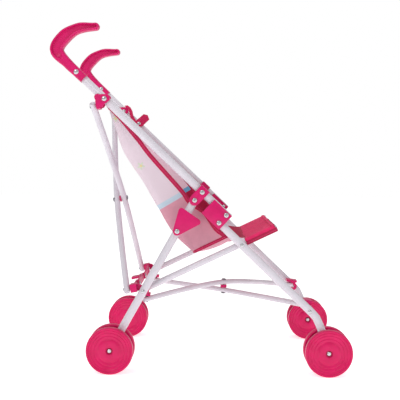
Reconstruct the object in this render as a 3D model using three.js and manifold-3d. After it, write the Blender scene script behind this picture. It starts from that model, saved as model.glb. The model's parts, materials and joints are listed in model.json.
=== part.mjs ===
// Doll stroller with an umbrella fold: two tube side frames, a rear and a lower cross brace, a centre lock,
// twin wheels on four legs and a fabric sling seat. Millimetres, +Z up, +X forward, +Y to its left.
// The origin is on the floor under the middle of the open stroller.
import * as THREE from "three";
import { mergeVertices } from "three/addons/utils/BufferGeometryUtils.js";
import Module from "manifold-3d";

const wasm = await Module();
wasm.setup();

// Driving dimensions
const GAP = 0.3;
const LEG_Y = 120; // side frame plane, from the middle
const TUBE_R = 6.25;
const TUBE_WALL = 1;
const INNER_WALL = [111, 113.3]; // y of the plastic walls on the two sides of a tube
const OUTER_WALL = [126.7, 129];
const STRUT_R = 5;
const STRUT_Y = 105.5;
const BOLT_R = 2.3;
const HOLE_R = 2.6;
const HEAD_R = 3.9;

const LEG_PIVOT = { x: -11.1, z: 273.4 }; // rear leg's top, on the elbow plate
const KNEE_PIVOT = { x: 38.1, z: 250.6 }; // front leg's hinge at the push tube's foot
const PUSH_ANGLE = THREE.MathUtils.degToRad(136.8);
const PUSH_LENGTH = 305; // knee pivot to the handle's sleeve
const SOCKET_DEPTH = 42;
const TUBE_OFFSET = 16.4; // between the axes of tubes that lie side by side
const DOME_AT = 260.5; // rivet of the top bracket, from the knee pivot
const REAR_HUB = { x: -142.2, z: 37 };
const FRONT_HUB = { x: 199.8, z: 37 };
const STRUT_AT = 164.6; // strut pivot on the rear leg, from its top pivot
const STRUT_FRONT = { x: 63, z: 203.7 }; // strut rivet on the front leg
const STRUT_OVERHANG = 62;
const BRACE_FRONT = { x: 170.3, z: 100.9 }; // lower brace's bracket on the front leg

const WHEEL_R = 37;
const WHEEL_SEGMENTS = 24;
const DISC_THICK = 11;
const DISC_INNER_Y = 102;
const DISC_OUTER_Y = 126.9;
const AXLE_R = 2.2;

const REAR_BRACE_R = 5;
const REAR_BRACE_Y = 116; // end pivots, from the middle
const REAR_LOW_DEPTH = 25.5; // of the end pivots, behind the line from the strut pivot to the dome rivet
const REAR_HIGH_DEPTH = 20.5;
const REAR_GAP = 6.25; // half the distance between the tubes' axes where they cross
const REAR_SAG = 6; // how far the crossing is below the tubes' middle
const LOWER_BRACE_R = 4.35;
const LOWER_BRACE_Y = 92.5; // end pivots, from the middle
const LOWER_REAR_DROP = 17.6; // of the rear ends, under the strut pivots
const LOWER_FRONT_RISE = 4;
const LOWER_BOW = 9.5; // the two tubes' mean rise where they cross
const LOWER_GAP = 7; // half the distance between their axes there
const BRACE_OVERHANG = 5.5; // tube past its end pivot
const LOCK_Y = 74; // lock arm pivots, from the middle
const LOCK_RISE = 7;

// Side-view helpers: a point is {x, z}, an angle is measured from +X towards +Z.
const at = (from, angle, length, side = 0) => ({
  x: from.x + length * Math.cos(angle) - side * Math.sin(angle),
  z: from.z + length * Math.sin(angle) + side * Math.cos(angle),
});
const angleOf = (a, b) => Math.atan2(b.z - a.z, b.x - a.x);
const distance = (a, b) => Math.hypot(b.x - a.x, b.z - a.z);
const space = (p, y) => new THREE.Vector3(p.x, y, p.z);
const flat = (p) => new THREE.Vector2(p.x, p.z);
const smooth = (points) => new THREE.CatmullRomCurve3(points, false, "centripetal");

const LEG_ANGLE = angleOf(LEG_PIVOT, REAR_HUB);
const STRUT_PIVOT = at(LEG_PIVOT, LEG_ANGLE, STRUT_AT);
const STRUT_ANGLE = angleOf(STRUT_PIVOT, STRUT_FRONT);
const DOME = at(KNEE_PIVOT, PUSH_ANGLE, DOME_AT);
const ELBOW_AT = distance(KNEE_PIVOT, LEG_PIVOT) * Math.cos(PUSH_ANGLE - angleOf(KNEE_PIVOT, LEG_PIVOT));
const FRONT_TOP = at(KNEE_PIVOT, PUSH_ANGLE, 0, TUBE_OFFSET); // rivet of the front leg in the knee plate
const REAR_LINE = angleOf(STRUT_PIVOT, DOME);
const LOWER_LINE = angleOf(STRUT_PIVOT, BRACE_FRONT);
const rearPoint = (rise, depth, y) => space(at(STRUT_PIVOT, REAR_LINE, rise, depth), y);

// Materials
function finish(color, roughness, metalness) {
  return new THREE.MeshStandardMaterial({ color, roughness, metalness });
}

const PAINT = finish(0xe4dfe8, 0.3, 0.2);
const PLASTIC = finish(0xd2205c, 0.35, 0);
const WHEEL_PLASTIC = finish(0xc91f55, 0.4, 0);
const STEEL = finish(0xc8c8cc, 0.25, 1);
const FABRIC = finish(0xe0ccd8, 0.9, 0);
const PANEL_FABRIC = finish(0xc83c64, 0.9, 0);
const WEBBING = finish(0xb01c4c, 0.85, 0);

// Solids: each is made as a geometry, and cut or joined as a manifold solid.
function solid(geometry) {
  const bare = geometry.index ? geometry.toNonIndexed() : geometry.clone();
  bare.deleteAttribute("normal");
  bare.deleteAttribute("uv");
  const merged = mergeVertices(bare, 1e-3);
  return new wasm.Manifold(
    new wasm.Mesh({
      numProp: 3,
      vertProperties: merged.attributes.position.array,
      triVerts: new Uint32Array(merged.index.array),
    }),
  );
}

function geometryOf(made) {
  const mesh = made.getMesh();
  const geometry = new THREE.BufferGeometry();
  geometry.setAttribute("position", new THREE.BufferAttribute(new Float32Array(mesh.vertProperties), 3));
  geometry.setIndex(new THREE.BufferAttribute(new Uint32Array(mesh.triVerts), 1));
  geometry.computeVertexNormals();
  return geometry;
}

const join = (...parts) => parts.map(solid).reduce((a, b) => a.add(b));
const cut = (body, ...tools) => tools.map(solid).reduce((a, b) => a.subtract(b), body);

// A round bar from y = low to y = high at a side-view point.
function pinY(p, radius, low, high, sides = 12) {
  return new THREE.CylinderGeometry(radius, radius, high - low, sides).translate(p.x, (low + high) / 2, p.z);
}

// A round bar between two points in space.
function bar(from, to, radius, sides = 12) {
  const length = from.distanceTo(to);
  const turn = new THREE.Quaternion().setFromUnitVectors(
    new THREE.Vector3(0, 1, 0),
    to.clone().sub(from).normalize(),
  );
  return new THREE.CylinderGeometry(radius, radius, length, sides)
    .applyQuaternion(turn)
    .translate((from.x + to.x) / 2, (from.y + to.y) / 2, (from.z + to.z) / 2);
}

// An open-ended tube along a curve.
function tube(curve, radius, steps, halfSides = 6) {
  const ring = new THREE.Shape().absarc(0, 0, radius, 0, 2 * Math.PI);
  ring.holes.push(new THREE.Path().absarc(0, 0, radius - TUBE_WALL, 0, 2 * Math.PI));
  return new THREE.ExtrudeGeometry(ring, { steps, curveSegments: halfSides, extrudePath: curve });
}

const straightTube = (a, b, radius) => tube(new THREE.LineCurve3(a, b), radius, 1);

// A side-view outline made into a plate between y = low and y = high.
function plate(shape, low, high, curveSegments = 8) {
  return new THREE.ExtrudeGeometry(shape, { depth: high - low, bevelEnabled: false, curveSegments })
    .rotateX(Math.PI / 2)
    .translate(0, high, 0);
}

// A rectangle in the side view, given in a frame at origin whose first axis points along angle.
function block(origin, angle, [a0, a1], [b0, b1], [low, high]) {
  const corners = [[a0, b0], [a1, b0], [a1, b1], [a0, b1]].map(([a, b]) => at(origin, angle, a, b));
  return plate(new THREE.Shape(corners.map(flat)), low, high);
}

// The outline around a list of circles, each {x, z, r}, taken in counter-clockwise order.
function roundHull(circles, perTurn = 24) {
  const points = [];
  circles.forEach((c, i) => {
    const before = circles[(i + circles.length - 1) % circles.length];
    const after = circles[(i + 1) % circles.length];
    const normal = (a, b) => angleOf(a, b) - Math.PI / 2 + Math.asin((a.r - b.r) / distance(a, b)) * -1;
    const start = normal(before, c);
    let end = normal(c, after);
    while (end < start) end += 2 * Math.PI;
    const steps = Math.max(1, Math.round(((end - start) / (2 * Math.PI)) * perTurn));
    for (let k = 0; k <= steps; k++) {
      points.push(flat(at(c, start + ((end - start) * k) / steps, c.r)));
    }
  });
  return new THREE.Shape(points);
}

const root = new THREE.Group();

function add(parent, name, made, material) {
  const mesh = new THREE.Mesh(made.isBufferGeometry ? made : geometryOf(made), material);
  mesh.name = name;
  parent.add(mesh);
}

// Wheels: two ribbed discs either side of the leg, on one axle
function discGeometry(low) {
  const flat = WHEEL_R / Math.cos(Math.PI / WHEEL_SEGMENTS); // facets, one of them level with the floor
  const t = DISC_THICK;
  const profile = [
    [AXLE_R + GAP, 2.5], [flat - 8, 2.5], [flat - 5, 0], [flat, 1.5], [flat, t - 1.5],
    [flat - 5, t], [flat - 8, t - 2.5], [AXLE_R + GAP, t - 2.5], [AXLE_R + GAP, 2.5],
  ].map(([r, y]) => new THREE.Vector2(r, y));
  const disc = new THREE.LatheGeometry(profile, WHEEL_SEGMENTS);
  return disc.rotateY(Math.PI / WHEEL_SEGMENTS).translate(0, low, 0);
}

function addWheel(side, name, hub) {
  const wheel = new THREE.Group();
  wheel.position.set(hub.x, 0, hub.z);
  side.add(wheel);
  add(wheel, name + "_outer_disc", discGeometry(DISC_OUTER_Y), WHEEL_PLASTIC);
  add(wheel, name + "_inner_disc", discGeometry(DISC_INNER_Y), WHEEL_PLASTIC);
  const centre = { x: 0, z: 0 };
  const outer = DISC_OUTER_Y + DISC_THICK;
  const axle = join(
    pinY(centre, AXLE_R, DISC_INNER_Y, outer),
    pinY(centre, 5, DISC_INNER_Y - 0.4, DISC_INNER_Y + 2.2),
    pinY(centre, 5, outer - 2.2, outer + 0.6),
  );
  add(wheel, name + "_axle", axle, STEEL);
}

// Handle: a hook that curves up and forward from the end of the push tube, tapering to a round tip
function handleSolid() {
  const neck = at(KNEE_PIVOT, PUSH_ANGLE, PUSH_LENGTH);
  const along = (s, side) => at(neck, PUSH_ANGLE, s, side);
  const tip = { x: -166.2, z: 540 };
  const crown = [{ x: -226.7, z: 504 }, { x: -214.7, z: 524 }, { x: -193.7, z: 537 }];
  const centre = [along(0, 0), along(16, 0), along(33, 0), ...crown, tip];
  const halfWidth = [6.9, 7.1, 7.5, 10.2, 10, 7.6, 5.6];
  const curve = smooth(centre.map((p) => space(p, 0)));
  const steps = 22;
  const left = [];
  const right = [];
  for (let k = 0; k <= steps; k++) {
    const t = k / steps;
    const p = curve.getPoint(t);
    const d = curve.getTangent(t);
    const i = Math.min(Math.floor(t * 6), 5);
    const w = THREE.MathUtils.lerp(halfWidth[i], halfWidth[i + 1], t * 6 - i);
    left.push(new THREE.Vector2(p.x - d.z * w, p.z + d.x * w));
    right.unshift(new THREE.Vector2(p.x + d.z * w, p.z - d.x * w));
  }
  const end = curve.getTangent(1);
  const round = [1, 2, 3, 4, 5].map((k) => {
    const a = Math.atan2(end.z, end.x) + Math.PI / 2 - (k * Math.PI) / 6;
    return flat(at(tip, a, halfWidth[6]));
  });
  const bevel = 2;
  const half = 8.6;
  const shape = new THREE.Shape([...left, ...round, ...right].reverse());
  const hook = new THREE.ExtrudeGeometry(shape, {
    depth: 2 * half - 2 * bevel,
    bevelThickness: bevel,
    bevelSize: bevel - 0.6,
    bevelOffset: 0.6 - bevel,
    bevelSegments: 2,
  })
    .rotateX(Math.PI / 2)
    .translate(0, LEG_Y + half - bevel, 0);
  const socket = bar(space(along(-5, 0), LEG_Y), space(along(SOCKET_DEPTH, 0), LEG_Y), TUBE_R + GAP, 20);
  return cut(solid(hook), socket);
}

// Block of a rear brace bracket, which holds the end of a brace tube behind the pivot
const braceBlock = (pivot, rise, depth, ys) =>
  block(pivot, REAR_LINE, [rise - 6.3, rise + 6.3], [9.3, depth - REAR_BRACE_R - 3 * GAP], ys);

// Top bracket: two cheeks around the push tube, joined by the block
function topBracket() {
  const outline = roundHull([
    { ...DOME, r: 8.6 },
    { ...at(DOME, PUSH_ANGLE, 9.5, 5.5), r: 4.9 },
    { ...at(DOME, PUSH_ANGLE, -1.5, 10.3), r: 4.9 },
  ]);
  const cheeks = [plate(outline, ...OUTER_WALL), plate(outline, ...INNER_WALL)];
  return join(...cheeks, braceBlock(DOME, -7, REAR_HIGH_DEPTH, [106.5, 129]));
}

// Rear bracket: a cheek inside the rear leg, the block behind it, and a lug for the lock
function rearBracket(lug) {
  const cheek = roundHull([
    { ...STRUT_PIVOT, r: 8.6 },
    { ...at(STRUT_PIVOT, REAR_LINE, LOCK_RISE, 7.7), r: 4.9 },
  ]);
  const body = join(
    plate(cheek, ...INNER_WALL),
    braceBlock(STRUT_PIVOT, LOCK_RISE, REAR_LOW_DEPTH, [103.5, 121.5]),
    block(STRUT_PIVOT, REAR_LINE, [LOCK_RISE - 5.5, LOCK_RISE + 5.5], lug, [LOCK_Y - 6, 106]),
  );
  const lockHole = bar(rearPoint(LOCK_RISE, 0, LOCK_Y), rearPoint(LOCK_RISE, 20, LOCK_Y), HOLE_R);
  return cut(body, pinY(STRUT_PIVOT, HOLE_R, 100, 140), lockHole);
}

// One side of the frame, built on the left (+Y) side
function addSide(tag, sign) {
  const side = new THREE.Group();
  side.scale.y = sign;
  root.add(side);
  const put = (name, made, material) => add(side, tag + "_" + name, made, material);

  // push tube, with its handle
  const pushTube = straightTube(
    space(at(KNEE_PIVOT, PUSH_ANGLE, -6.8), LEG_Y),
    space(at(KNEE_PIVOT, PUSH_ANGLE, PUSH_LENGTH + SOCKET_DEPTH - 1), LEG_Y),
    TUBE_R,
  );
  put("push_tube", cut(solid(pushTube), pinY(KNEE_PIVOT, HOLE_R, 100, 140)), PAINT);
  put("handle", handleSolid(), PLASTIC);
  const handleScrew = at(KNEE_PIVOT, PUSH_ANGLE, PUSH_LENGTH + 15);
  const screwHead = pinY(handleScrew, HEAD_R, 128.9, 130);
  put("handle_screw", join(screwHead, pinY(handleScrew, 2.9, 129.5, 130.8)), STEEL);
  put("top_bracket", topBracket(), PLASTIC);

  // elbow plate: a strap over the push tube that carries the rear leg's top pivot
  const elbow = at(KNEE_PIVOT, PUSH_ANGLE, ELBOW_AT);
  const strapTop = -(TUBE_R + GAP);
  const strapWall = (wall) => [
    block(elbow, PUSH_ANGLE, [-8.5, 8.5], [strapTop - 1.3, TUBE_OFFSET], wall),
    pinY(LEG_PIVOT, 8.5, ...wall, 20),
  ];
  const strapWeb = block(elbow, PUSH_ANGLE, [-8.5, 8.5], [strapTop - 1.3, strapTop], [111.5, 128.8]);
  const elbowPlate = join(...strapWall(OUTER_WALL), ...strapWall(INNER_WALL), strapWeb);
  put("elbow_plate", cut(elbowPlate, pinY(LEG_PIVOT, HOLE_R, 100, 140)), PLASTIC);
  const elbowHead = pinY(LEG_PIVOT, HEAD_R, 129.3, 131.2);
  const elbowNut = pinY(LEG_PIVOT, HEAD_R, 108.5, 110.7, 6);
  put("elbow_bolt", join(pinY(LEG_PIVOT, BOLT_R, 109, 130), elbowHead, elbowNut), STEEL);

  // rear leg and its guard
  const rearLeg = straightTube(
    space(at(LEG_PIVOT, LEG_ANGLE, -6.8), LEG_Y),
    space(at(LEG_PIVOT, LEG_ANGLE, distance(LEG_PIVOT, REAR_HUB) + 8), LEG_Y),
    TUBE_R,
  );
  const rearHoles = [LEG_PIVOT, STRUT_PIVOT, REAR_HUB].map((p) => pinY(p, HOLE_R, 100, 140));
  put("rear_leg", cut(solid(rearLeg), ...rearHoles), PAINT);
  const guardFoot = at(LEG_PIVOT, LEG_ANGLE, 55);
  const guard = roundHull([
    { ...guardFoot, r: 6.7 },
    { ...at(guardFoot, LEG_ANGLE, -28, 20.5), r: 4.7 },
    { ...at(guardFoot, LEG_ANGLE, -31, -9.7), r: 4.7 },
  ]);
  put("leg_guard", join(plate(guard, 131.3, 133.8), pinY(guardFoot, 5.5, 126.6, 132)), PLASTIC);

  // front leg, bent down to its wheel, and the knee plate fixed round its top
  const bend = at(BRACE_FRONT, angleOf(FRONT_TOP, BRACE_FRONT), 14);
  const tail = new THREE.Vector3(FRONT_HUB.x + 1.8, LEG_Y, FRONT_HUB.z - 7.8);
  const knuckle = new THREE.Vector3(FRONT_HUB.x - 5, LEG_Y, FRONT_HUB.z + 27);
  const frontBend = new THREE.QuadraticBezierCurve3(space(bend, LEG_Y), knuckle, tail);
  const frontPoints = [space(at(FRONT_TOP, PUSH_ANGLE, 8), LEG_Y), space(STRUT_FRONT, LEG_Y)];
  for (let k = 0; k <= 4; k++) frontPoints.push(frontBend.getPoint(k / 4));
  const frontLeg = tube(smooth(frontPoints), TUBE_R, 13);
  put("front_leg", cut(solid(frontLeg), pinY(FRONT_HUB, HOLE_R, 100, 140)), PAINT);
  const kneeBottom = TUBE_OFFSET + TUBE_R + GAP;
  const kneeWall = (wall) => block(KNEE_PIVOT, PUSH_ANGLE, [-7.5, 30], [-5.2, kneeBottom + 1.25], wall);
  const kneeWeb = block(KNEE_PIVOT, PUSH_ANGLE, [-7.5, 30], [kneeBottom, kneeBottom + 1.25], [111.2, 128.8]);
  const kneePlate = join(kneeWall(OUTER_WALL), kneeWall(INNER_WALL), kneeWeb);
  put("knee_plate", cut(kneePlate, pinY(KNEE_PIVOT, HOLE_R, 100, 140)), PLASTIC);
  const kneeHead = pinY(KNEE_PIVOT, HEAD_R, 129.3, 130.8);
  put("knee_bolt", join(pinY(KNEE_PIVOT, BOLT_R, 111.2, 130.2), kneeHead), STEEL);

  // seat strut, pivoted inside the rear leg
  const strut = straightTube(
    space(at(STRUT_PIVOT, STRUT_ANGLE, -5.5), STRUT_Y),
    space(at(STRUT_FRONT, STRUT_ANGLE, STRUT_OVERHANG), STRUT_Y),
    STRUT_R,
  );
  put("seat_strut", cut(solid(strut), pinY(STRUT_PIVOT, HOLE_R, 90, 140)), PAINT);

  // rear bracket and the clip of the lower brace, on one long pin through the rear leg
  put("rear_bracket", rearBracket(sign < 0 ? [12.5, 15] : [9.3, 11.8]), PLASTIC);
  const clipShelf = -(LOWER_REAR_DROP - LOWER_BRACE_R - 2);
  const clip = join(
    pinY(STRUT_PIVOT, 6.6, 93, 99.8, 20),
    block(STRUT_PIVOT, LOWER_LINE, [-5.5, 5.5], [clipShelf, 0], [93, 99.8]),
    block(STRUT_PIVOT, LOWER_LINE, [-5.5, 10], [clipShelf, clipShelf + 4], [85, 99.8]),
  );
  put("brace_clip", cut(clip, pinY(STRUT_PIVOT, HOLE_R, 90, 100)), PLASTIC);
  const legHead = pinY(STRUT_PIVOT, HEAD_R, 126.6, 128.2);
  put("leg_pin", join(pinY(STRUT_PIVOT, BOLT_R, 93.6, 127.6), legHead), STEEL);

  // front bracket of the lower brace, swivelling on the inner face of the front leg
  const hood = LOWER_FRONT_RISE + LOWER_BRACE_R + 2;
  const frontBracket = join(
    pinY(BRACE_FRONT, 7.5, 102, 113.3, 20),
    block(BRACE_FRONT, LOWER_LINE, [-7, 4], [2, hood + 3.5], [102, 106]),
    block(BRACE_FRONT, LOWER_LINE, [-15, 4], [hood, hood + 3.5], [85, 106]),
  );
  put("front_bracket", frontBracket, PLASTIC);

  addWheel(side, tag + "_rear_wheel", REAR_HUB);
  addWheel(side, tag + "_front_wheel", FRONT_HUB);
}

// Cross braces: the end pivots' places in the side view, and points on the line between them
function braceLine(low, high) {
  return { low, tilt: angleOf(low, high), span: distance(low, high) };
}

const onBrace = (line, share, slip, side, y) =>
  space(at(line.low, line.tilt, line.span * share + slip, side), y);

const REAR_BRACE = braceLine(
  at(STRUT_PIVOT, REAR_LINE, LOCK_RISE, REAR_LOW_DEPTH),
  at(DOME, REAR_LINE, -7, REAR_HIGH_DEPTH),
);
const LOWER_BRACE = braceLine(
  at(STRUT_PIVOT, LOWER_LINE, 4.9, -LOWER_REAR_DROP),
  at(BRACE_FRONT, LOWER_LINE, -8.4, LOWER_FRONT_RISE),
);

// A gently bowed tube from (low, sign * width) to (high, -sign * width), drilled where it crosses its partner
function braceTube(line, radius, sign, width, slip, bow) {
  const points = [0, 0.25, 0.5, 0.75, 1].map((share) => {
    const wave = Math.sin(Math.PI * share) ** 1.3;
    return onBrace(line, share, slip * wave, bow * wave, sign * width * (1 - 2 * share));
  });
  const first = points[0].clone().sub(points[1]).setLength(BRACE_OVERHANG).add(points[0]);
  const last = points[4].clone().sub(points[3]).setLength(BRACE_OVERHANG).add(points[4]);
  const body = solid(tube(smooth([first, ...points, last]), radius, 10));
  return cut(body, bar(onBrace(line, 0.5, slip, bow - 9, 0), onBrace(line, 0.5, slip, bow + 9, 0), HOLE_R));
}

// A bolt with a round head at each end, and a ring around it
function boltBetween(a, b, reach) {
  const out = b.clone().sub(a).setLength(1);
  const from = a.clone().addScaledVector(out, -reach);
  const to = b.clone().addScaledVector(out, reach);
  return join(
    bar(from, to, BOLT_R),
    bar(from.clone().addScaledVector(out, -1.6), from.clone().addScaledVector(out, 0.4), 4.4),
    bar(to.clone().addScaledVector(out, -0.4), to.clone().addScaledVector(out, 1.6), 4.4),
  );
}

function ringBetween(a, b, radius, trim) {
  const out = b.clone().sub(a).setLength(trim);
  const body = solid(bar(a.clone().add(out), b.clone().sub(out), radius, 20));
  return cut(body, bar(a, b, HOLE_R));
}

function addBrace(name, line, radius, width, slip, [bowA, bowB], signA) {
  add(root, name + "_tube_a", braceTube(line, radius, signA, width, slip, bowA), PAINT);
  add(root, name + "_tube_b", braceTube(line, radius, -signA, width, slip, bowB), PAINT);
  const [low, high] = [bowA, bowB].sort((a, b) => a - b).map((bow) => onBrace(line, 0.5, slip, bow, 0));
  add(root, name + "_bolt", boltBetween(low, high, radius + 0.8), STEEL);
  add(root, name + "_spacer", ringBetween(low, high, 5.5, radius + GAP), PLASTIC);
}

// Fold lock: two arms in line between the rear brackets, on a centre pin, with a foot pedal
function addLock() {
  const arm = (ySign, [front, back]) => {
    const ends = [ySign * LOCK_Y, 0].sort((a, b) => a - b);
    const through = (y, past, radius) =>
      bar(rearPoint(LOCK_RISE, front - past, y), rearPoint(LOCK_RISE, back + past, y), radius);
    const strip = block(STRUT_PIVOT, REAR_LINE, [LOCK_RISE - 5.5, LOCK_RISE + 5.5], [front, back], ends);
    const eyes = ends.map((y) => through(y, 0, 5.5));
    return cut(join(strip, ...eyes), ...ends.map((y) => through(y, 2, HOLE_R)));
  };
  add(root, "right_lock_arm", arm(-1, [9.2, 12.2]), PLASTIC);
  add(root, "left_lock_arm", arm(1, [7, 8.9]), PLASTIC);
  const pin = boltBetween(rearPoint(LOCK_RISE, 7, 0), rearPoint(LOCK_RISE, 12.2, 0), 0.8);
  add(root, "lock_pin", pin, STEEL);
  const pedal = join(
    block(STRUT_PIVOT, REAR_LINE, [LOCK_RISE - 6, LOCK_RISE + 6], [12.5, 14.7], [-40, -8]),
    block(STRUT_PIVOT, REAR_LINE, [LOCK_RISE + 2, LOCK_RISE + 5.5], [13, 27], [-34, -14]),
  );
  add(root, "lock_pedal", pedal, PLASTIC);
}

// Seat: a fabric sling with side wings, and a panel stretched between the struts in front of it
const SLING_MIDDLE = [
  [-150, 424], [-144, 396], [-131, 360], [-121, 340], [-98, 302], [-71, 258],
  [-45, 218], [-16, 191], [20, 187], [46, 194], [62, 205],
];
const SLING_EDGE = [
  [42, 213], [27, 222], [6, 250], [-19, 264], [-27, 278], [-83, 341], [-115, 379], [-148, 424],
];
const SLING_THICK = 2;

function addSeat() {
  const curve = smooth(SLING_MIDDLE.map(([x, z]) => new THREE.Vector3(x, 0, z)));
  const steps = 20;
  const wingSteps = 17; // the wings end short of the front hem
  const outside = [];
  const inside = [];
  for (let k = 0; k <= steps; k++) {
    const p = curve.getPoint(k / steps);
    const d = curve.getTangent(k / steps);
    outside.push(new THREE.Vector2(p.x, p.z));
    inside.unshift(new THREE.Vector2(p.x - d.z * SLING_THICK, p.z + d.x * SLING_THICK));
  }
  const half = STRUT_Y - STRUT_R - 0.7;
  const strip = plate(new THREE.Shape([...outside, ...inside]), -half, half);
  const edge = SLING_EDGE.map(([x, z]) => new THREE.Vector2(x, z));
  const wing = new THREE.Shape([...outside.slice(0, wingSteps + 1), ...edge]);
  const nearWing = plate(wing, -half, SLING_THICK - half);
  const farWing = plate(wing, half - SLING_THICK, half);
  add(root, "seat_sling", join(strip, nearWing, farWing), FABRIC);

  const reach = distance(STRUT_PIVOT, STRUT_FRONT);
  const panel = block(STRUT_PIVOT, STRUT_ANGLE, [reach + 12, reach + STRUT_OVERHANG], [1, 4], [-half, half]);
  add(root, "seat_panel", panel, PANEL_FABRIC);
}

// Closure strap on the left push tube: a loop over the tube, and a tab with a press stud beside it
const STRAP_LOOP = [[-6, 7.5], [-2, 12.5], [5, 13.3], [12, 10.9], [19.8, 5.3], [29.3, 2.5]];
const STRAP_TAB = [[31.3, 21.4], [38, 25.2], [46, 21.4], [45, 2.7], [42, -1.5]];
const STRAP_UNDER = [[28, -2], [18, -0.5], [10.5, 4.5], [4, 8]];

function addStrap() {
  const corner = ([along, side]) => at(DOME, PUSH_ANGLE + Math.PI, along, side);
  const corners = [...STRAP_LOOP, ...STRAP_TAB, ...STRAP_UNDER].map(corner).reverse();
  const outline = new THREE.Shape(corners.map(flat));
  const rivet = pinY(corner([26, 0.5]), 2.5, 109, 113.4);
  add(root, "closure_strap", join(plate(outline, 108.6, 110.4), rivet), WEBBING);
  add(root, "strap_stud", pinY(corner([37, 2.5]), 3.6, 106.9, 108.3), STEEL);
}

addSide("right", -1);
addSide("left", 1);
addBrace("rear_brace", REAR_BRACE, REAR_BRACE_R, REAR_BRACE_Y, -REAR_SAG, [-REAR_GAP, REAR_GAP], 1);
const bows = [LOWER_BOW + LOWER_GAP, LOWER_BOW - LOWER_GAP];
addBrace("lower_brace", LOWER_BRACE, LOWER_BRACE_R, LOWER_BRACE_Y, 0, bows, -1);
addLock();
addSeat();
addStrap();

export default root;
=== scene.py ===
"""Doll stroller with an umbrella fold: enamelled tubes, moulded pink plastic and a printed fabric sling."""

import json
import math

import bmesh
import bpy
from mathutils import Matrix, Vector, noise


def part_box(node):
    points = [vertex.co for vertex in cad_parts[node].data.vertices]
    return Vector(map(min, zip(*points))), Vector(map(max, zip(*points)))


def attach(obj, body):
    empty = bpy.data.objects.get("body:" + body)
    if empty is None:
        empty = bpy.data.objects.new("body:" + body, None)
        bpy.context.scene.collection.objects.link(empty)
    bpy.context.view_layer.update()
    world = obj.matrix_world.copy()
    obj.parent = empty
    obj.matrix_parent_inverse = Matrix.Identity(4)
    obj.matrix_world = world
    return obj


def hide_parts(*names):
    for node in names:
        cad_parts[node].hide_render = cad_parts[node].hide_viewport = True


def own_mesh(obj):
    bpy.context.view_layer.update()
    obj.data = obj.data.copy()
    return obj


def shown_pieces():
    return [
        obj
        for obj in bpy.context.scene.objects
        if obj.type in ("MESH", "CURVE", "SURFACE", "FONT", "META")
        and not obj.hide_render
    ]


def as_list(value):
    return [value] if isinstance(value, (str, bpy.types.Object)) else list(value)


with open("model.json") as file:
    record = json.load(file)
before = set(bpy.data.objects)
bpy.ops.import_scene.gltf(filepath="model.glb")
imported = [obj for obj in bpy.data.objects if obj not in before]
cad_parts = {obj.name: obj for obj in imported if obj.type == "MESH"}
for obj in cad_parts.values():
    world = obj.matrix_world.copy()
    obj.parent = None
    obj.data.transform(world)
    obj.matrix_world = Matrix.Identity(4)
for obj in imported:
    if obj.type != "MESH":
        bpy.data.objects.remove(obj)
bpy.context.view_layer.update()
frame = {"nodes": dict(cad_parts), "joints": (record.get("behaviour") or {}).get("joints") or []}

MM = 0.001
SIDES = (("right", -1), ("left", 1))
PIVOTS = {j["name"]: Vector(j["pos_m"]) for j in frame["joints"] if "pos_m" in j}


def side_view(v):
    """A point's place in the side view, with no width."""
    return Vector((v.x, 0, v.z))


ELBOW = side_view(PIVOTS["fold"])
KNEE = side_view(PIVOTS["right_knee_hinge"])
DOME = side_view(PIVOTS["right_top_bracket_swivel"])
REAR_PIN = side_view(PIVOTS["right_rear_bracket_swivel"])
BRACE_FRONT = side_view(PIVOTS["right_front_bracket_swivel"])
REAR_HUB = side_view(PIVOTS["right_rear_wheel_spin"])
FRONT_HUB = side_view(PIVOTS["right_front_wheel_spin"])

def quarter_turn(v):
    """A direction in the side view, turned to stand square to itself."""
    return Vector((-v.z, 0, v.x))


def at_y(point, y):
    return Vector((point.x, y, point.z))


LEG_Y = abs(PIVOTS["fold"].y)
STRUT_Y = abs(PIVOTS["right_strut_hinge"].y)
TUBE_R = 6.25 * MM
STRUT_R = 5.0 * MM
REAR_BRACE_R = 5.0 * MM
LOWER_BRACE_R = 4.35 * MM
WALL = 1.0 * MM
SLING_HALF = STRUT_Y - STRUT_R - 1.2 * MM
TUBE_OFFSET = 16.4 * MM  # between the axes of tubes that lie side by side

PUSH = (DOME - KNEE).normalized()
PUSH_BACK = quarter_turn(PUSH)  # backwards and down
LEG = (REAR_HUB - ELBOW).normalized()
FRONT_TOP = KNEE + PUSH_BACK * TUBE_OFFSET
STRUT_FRONT = Vector((63.0 * MM, 0, 203.7 * MM))
STRUT = (STRUT_FRONT - REAR_PIN).normalized()


# --- curves and meshes


def mix(a, b, share):
    return a * (1 - share) + b * share


def catmull(points, count):
    """count + 1 points on a centripetal Catmull-Rom curve through the given points."""
    knots = [points[0] * 2 - points[1], *points, points[-1] * 2 - points[-2]]
    out = []
    spans = len(points) - 1
    for k in range(count + 1):
        place = k / count * spans
        i = min(int(place), spans - 1)
        p = knots[i : i + 4]
        t = [0.0]
        for a, b in zip(p, p[1:]):
            t.append(t[-1] + max((b - a).length, 1e-9) ** 0.5)
        x = t[1] + (t[2] - t[1]) * (place - i)
        level = p
        for reach in (1, 2):
            level = [mix(a, b, (x - t[m]) / (t[m + reach] - t[m])) for m, (a, b) in enumerate(zip(level, level[1:]))]
        out.append(mix(*level, (x - t[1]) / (t[2] - t[1])))
    return out


def lengths_along(points):
    total = [0.0]
    for a, b in zip(points, points[1:]):
        total.append(total[-1] + (b - a).length)
    return total


def heading(points, i):
    """The direction of a line of points at one of them."""
    return (points[min(i + 1, len(points) - 1)] - points[max(i - 1, 0)]).normalized()


def quarter_arc():
    """Cosine and sine at seven places round a quarter turn."""
    return [(math.cos(a), math.sin(a)) for a in (math.pi / 2 * k / 6 for k in range(7))]


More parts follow.
